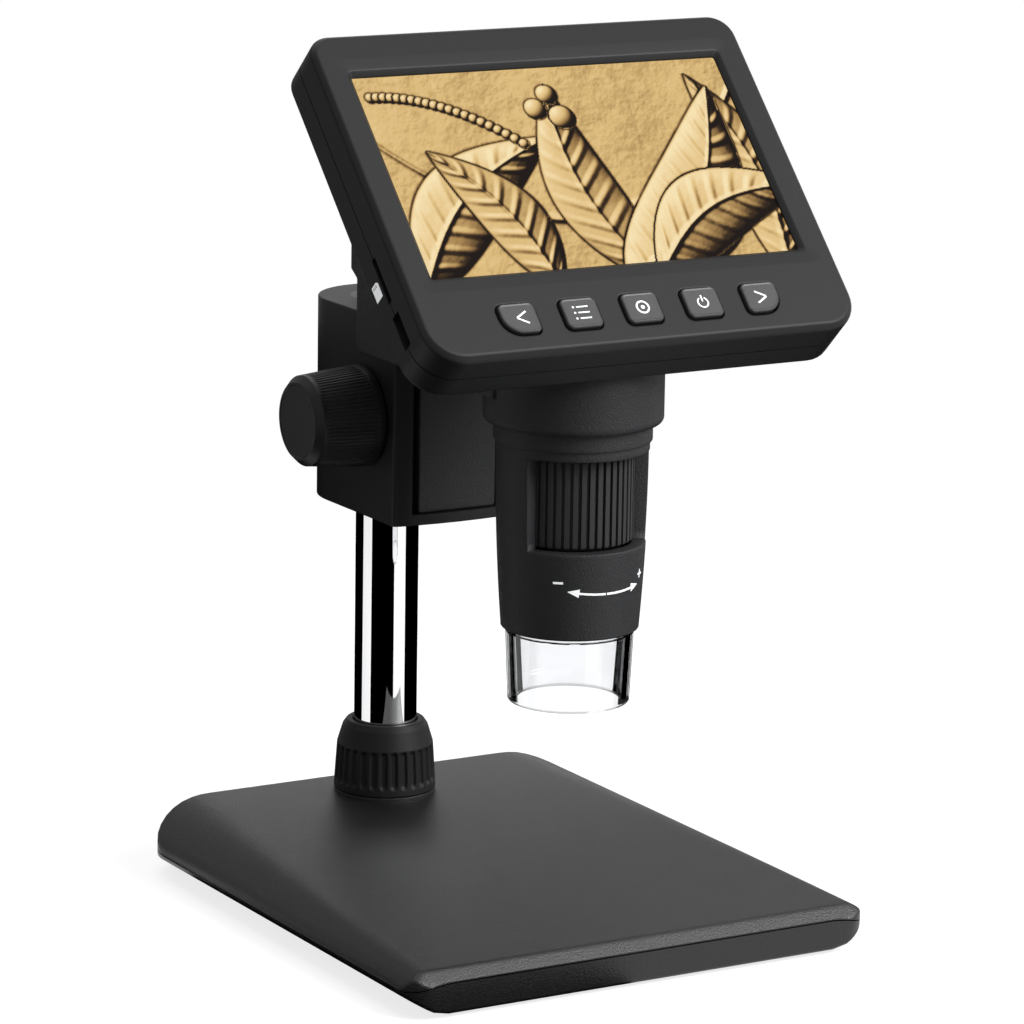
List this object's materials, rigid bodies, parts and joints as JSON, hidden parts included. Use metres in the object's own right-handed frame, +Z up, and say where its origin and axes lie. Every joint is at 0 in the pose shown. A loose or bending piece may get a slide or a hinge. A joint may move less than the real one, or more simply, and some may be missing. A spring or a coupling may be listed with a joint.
{
  "type": "lcd digital microscope",
  "caption": "Desktop digital microscope: a leaning colour screen with keys over a lens tube, carried by a bracket that a knob drives up and down a chrome column on a flat base.",
  "frame": {"origin": "middle of the base's underside, on the surface it stands on", "axes": "+X to the object's right, +Y to its back, +Z up; the screen looks to -Y"},
  "size_m": [0.1226, 0.1497, 0.2118],
  "materials": {
    "stand_plastic": "fine satin grain",
    "head_plastic": "fine satin grain",
    "bracket_plastic": "fine satin grain",
    "panel_plastic": "sandy grain",
    "knob_plastic": "satin",
    "column_chrome": "mirror polished",
    "key_plastic": "satin",
    "screen": "gloss film over the picture",
    "clear_acrylic": "polished clear",
    "lens_glass": "polished",
    "rubber": "matte",
    "nylon": "waxy",
    "steel": "plain",
    "black_steel": "black zinc",
    "board": "solder mask",
    "battery_wrap": "shrink film",
    "lamp": "clear resin",
    "barrel_metal": "black anodised"
  },
  "bodies": {
    "stand": {"base_top_shell": "stand_plastic", "base_bottom_shell": "stand_plastic", "base_ballast_plate": "steel", "base_feet": "rubber", "base_screws": "black_steel", "column_tube": "column_chrome", "column_foot_plug": "nylon", "column_bolt": "black_steel", "column_washer": "steel", "column_end_cap": "stand_plastic", "collar_collet": "nylon"},
    "collar": {"collar_nut": "stand_plastic"},
    "head": {"bracket_body": "bracket_plastic", "bracket_front_panel": "panel_plastic", "guide_bushes": "nylon", "shaft_bushes": "nylon", "shelf_screws": "black_steel", "clamp_pad": "nylon", "rear_body": "head_plastic", "battery_cell": "battery_wrap", "battery_tray": "knob_plastic", "neck_ring": "head_plastic", "tube_shell": "head_plastic", "lens_guide": "head_plastic", "sensor_board": "board", "led_board": "board", "led_lamps": "lamp", "clear_cap": "clear_acrylic", "front_bezel": "head_plastic", "back_cover": "head_plastic", "housing_screws": "black_steel", "lcd_panel": "screen", "lcd_foam_strips": "rubber", "main_board": "board", "key_switches": "key_plastic", "card_socket": "steel", "supply_socket": "steel"},
    "drive": {"drive_shaft": "steel", "roller_hub": "nylon", "roller_tyre": "rubber", "drive_knob_left": "knob_plastic", "drive_knob_right": "knob_plastic"},
    "clamp": {"clamp_knob": "knob_plastic", "clamp_screw": "black_steel"},
    "focus_ring": {"focus_wheel": "knob_plastic"},
    "lens": {"lens_barrel": "barrel_metal", "lens_glasses": "lens_glass"},
    "key_1_cap": {"key_1": "key_plastic"},
    "key_2_cap": {"key_2": "key_plastic"},
    "key_3_cap": {"key_3": "key_plastic"},
    "key_4_cap": {"key_4": "key_plastic"},
    "key_5_cap": {"key_5": "key_plastic"}
  },
  "joints": [
    {"name": "height_slide", "type": "slide", "parent": "stand", "child": "head", "axis": [0, 0, 1], "range_m": [-0.044, 0.034]},
    {"name": "drive_turn", "type": "hinge", "parent": "head", "child": "drive", "pos_m": [0, 0.034, 0.115], "axis": [1, 0, 0], "range_deg": [-170, 218]},
    {"name": "clamp_turn", "type": "hinge", "parent": "head", "child": "clamp", "pos_m": [0, 0.075, 0.115], "axis": [0, 1, 0], "range_deg": [0, 360]},
    {"name": "collar_turn", "type": "hinge", "parent": "stand", "child": "collar", "pos_m": [0, 0.0535, 0.0247], "axis": [0, 0, 1], "range_deg": [0, 360]},
    {"name": "focus_turn", "type": "hinge", "parent": "head", "child": "focus_ring", "pos_m": [0, -0.0341, 0.1075], "axis": [0, 0, 1], "range_deg": [-150, 150]},
    {"name": "lens_travel", "type": "slide", "parent": "head", "child": "lens", "axis": [0, 0, 1], "range_m": [-0.003, 0.003]},
    {"name": "key_1_press", "type": "slide", "parent": "head", "child": "key_1_cap", "axis": [0, 0.7254, -0.6884], "range_m": [0, 0.0008], "stiffness_N_per_m": 500, "springref_m": -0.0005},
    {"name": "key_2_press", "type": "slide", "parent": "head", "child": "key_2_cap", "axis": [0, 0.7254, -0.6884], "range_m": [0, 0.0008], "stiffness_N_per_m": 500, "springref_m": -0.0005},
    {"name": "key_3_press", "type": "slide", "parent": "head", "child": "key_3_cap", "axis": [0, 0.7254, -0.6884], "range_m": [0, 0.0008], "stiffness_N_per_m": 500, "springref_m": -0.0005},
    {"name": "key_4_press", "type": "slide", "parent": "head", "child": "key_4_cap", "axis": [0, 0.7254, -0.6884], "range_m": [0, 0.0008], "stiffness_N_per_m": 500, "springref_m": -0.0005},
    {"name": "key_5_press", "type": "slide", "parent": "head", "child": "key_5_cap", "axis": [0, 0.7254, -0.6884], "range_m": [0, 0.0008], "stiffness_N_per_m": 500, "springref_m": -0.0005}
  ],
  "couplings": [
    {"joint": "drive_turn", "follows": "height_slide", "rad_per_m": -85.106},
    {"joint": "focus_turn", "follows": "lens_travel", "rad_per_m": 872.6}
  ]
}
